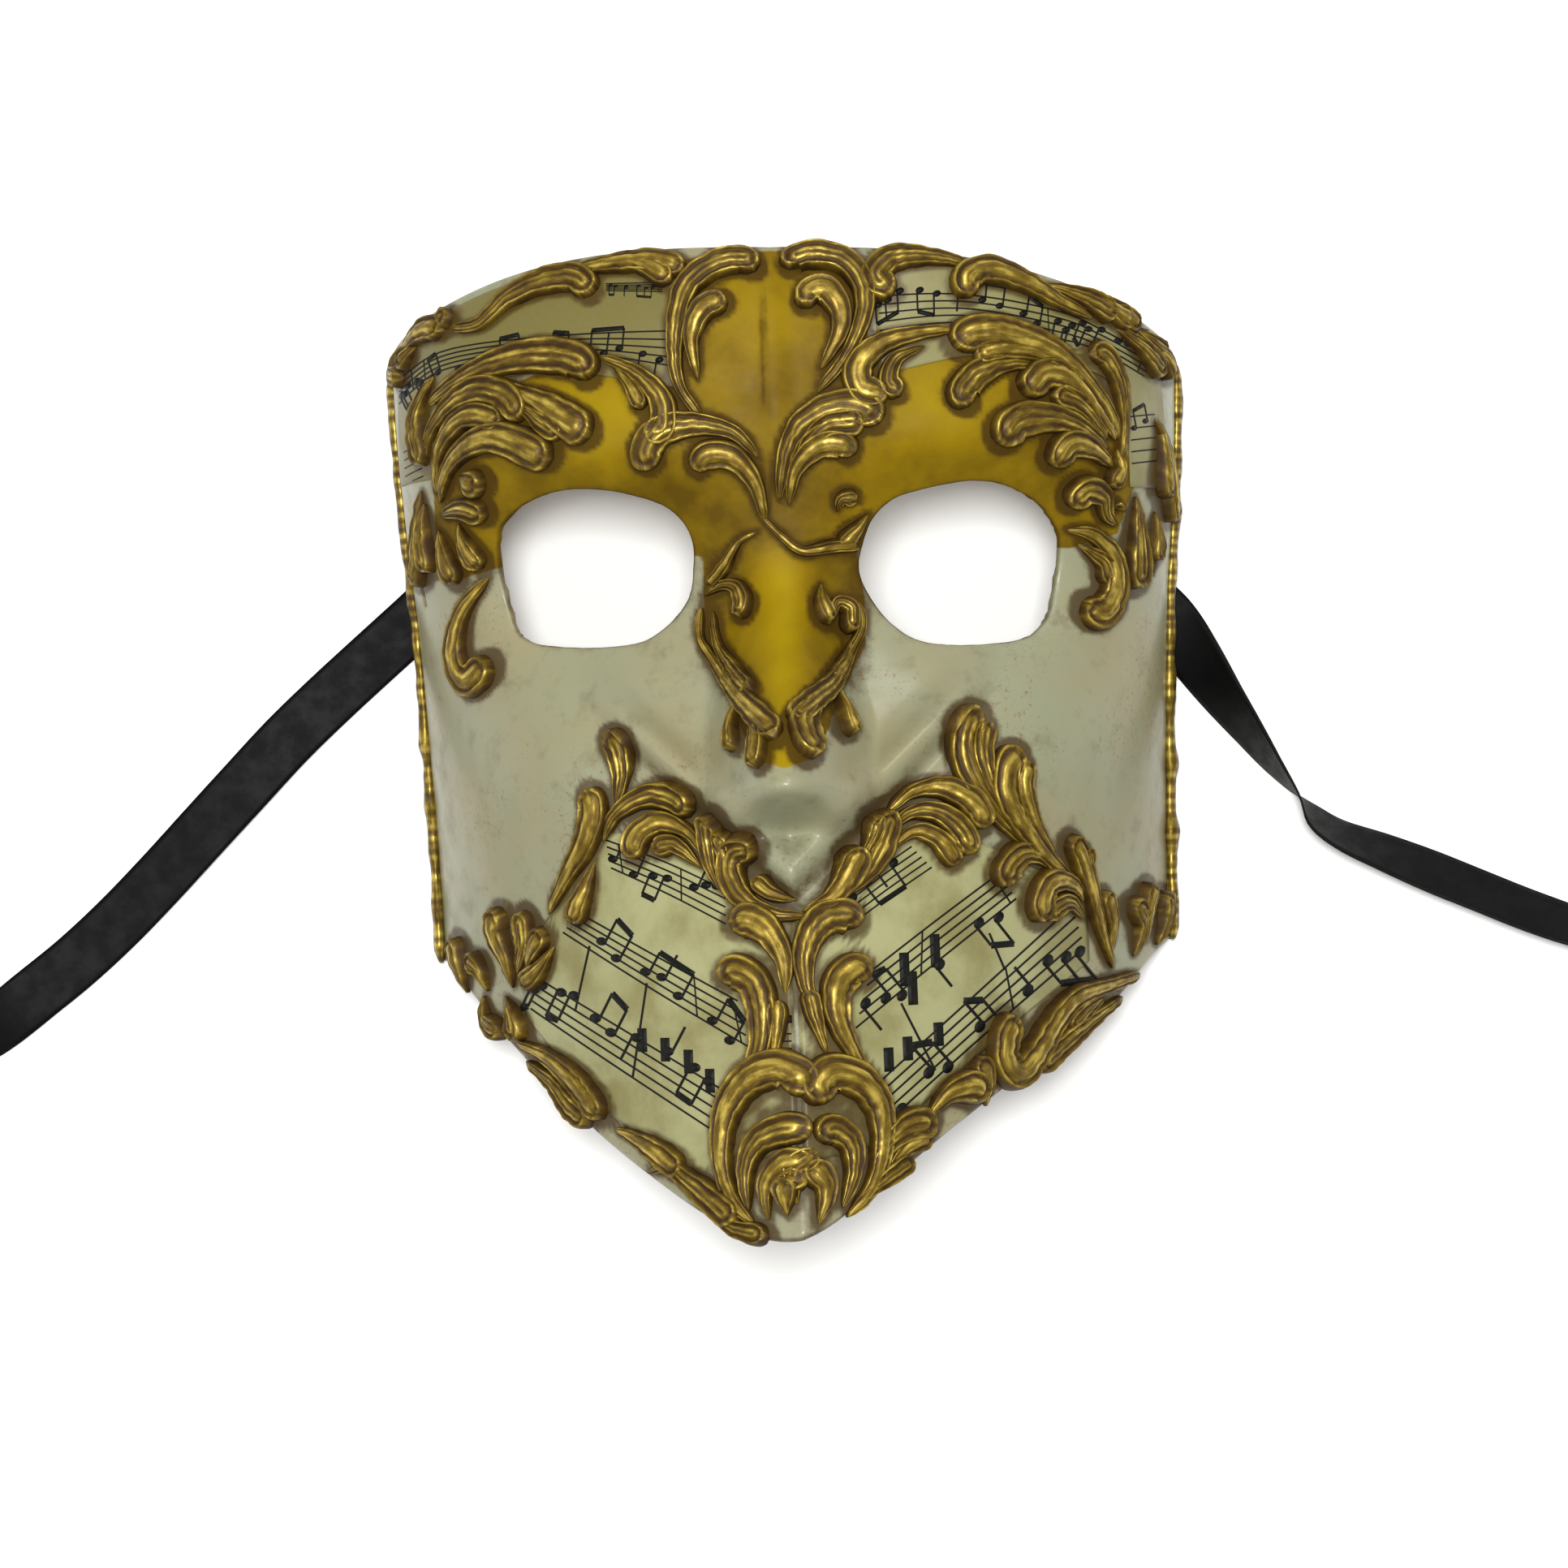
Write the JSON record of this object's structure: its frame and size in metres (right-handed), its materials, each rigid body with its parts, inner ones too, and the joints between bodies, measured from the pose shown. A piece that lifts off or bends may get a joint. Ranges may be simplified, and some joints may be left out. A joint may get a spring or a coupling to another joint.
{
  "type": "venetian bauta mask",
  "caption": "Full-face venetian bauta mask with jutting chin, open eyes, gilt scroll relief, music-paper panels and tie ribbons.",
  "frame": {"origin": "on the table under the middle of the mask, which lies on its back on its two side rims; the ribbons are left out", "axes": "+X towards the picture's right, +Y from chin to crown, +Z out of the face"},
  "size_m": [0.4889, 0.2094, 0.0976],
  "materials": {
    "mask_body": "gloss",
    "music_paper": "satin",
    "gilt_relief": "satin",
    "ribbon": "satin"
  },
  "bodies": {
    "root": {"shell": "mask_body", "paper_brow_left": "music_paper", "paper_brow_right": "music_paper", "paper_chin_left": "music_paper", "paper_chin_right": "music_paper", "cartouche_left": "gilt_relief", "cartouche_right": "gilt_relief", "crest_left": "gilt_relief", "crest_right": "gilt_relief", "nose_scroll_left": "gilt_relief", "nose_scroll_right": "gilt_relief", "nose_tips": "gilt_relief", "brow_spray_left": "gilt_relief", "brow_bud_left": "gilt_relief", "brow_curl_left": "gilt_relief", "temple_leaves_left": "gilt_relief", "cheek_drop_left": "gilt_relief", "crown_scroll_left": "gilt_relief", "corner_scroll_left": "gilt_relief", "brow_scroll_right": "gilt_relief", "brow_spray_right": "gilt_relief", "temple_scroll_right": "gilt_relief", "side_leaves_right": "gilt_relief", "crown_scroll_right": "gilt_relief", "corner_scroll_right": "gilt_relief", "lip_leaves_left": "gilt_relief", "lip_cup": "gilt_relief", "lip_arches_right": "gilt_relief", "cheek_spray_right": "gilt_relief", "corner_leaves_left": "gilt_relief", "corner_leaves_right": "gilt_relief", "jaw_scroll_left": "gilt_relief", "jaw_scroll_right": "gilt_relief", "jaw_leaves_left": "gilt_relief", "jaw_leaves_right": "gilt_relief", "chin_column_left": "gilt_relief", "chin_column_right": "gilt_relief", "rosette_left": "gilt_relief", "rosette_right": "gilt_relief", "chin_bud": "gilt_relief", "side_border_left": "gilt_relief", "side_border_right": "gilt_relief", "ribbon_left": "ribbon", "ribbon_right": "ribbon", "ribbon_coil_left": "ribbon", "ribbon_coil_right": "ribbon", "ribbon_knot_left": "ribbon", "ribbon_knot_right": "ribbon"}
  },
  "joints": []
}
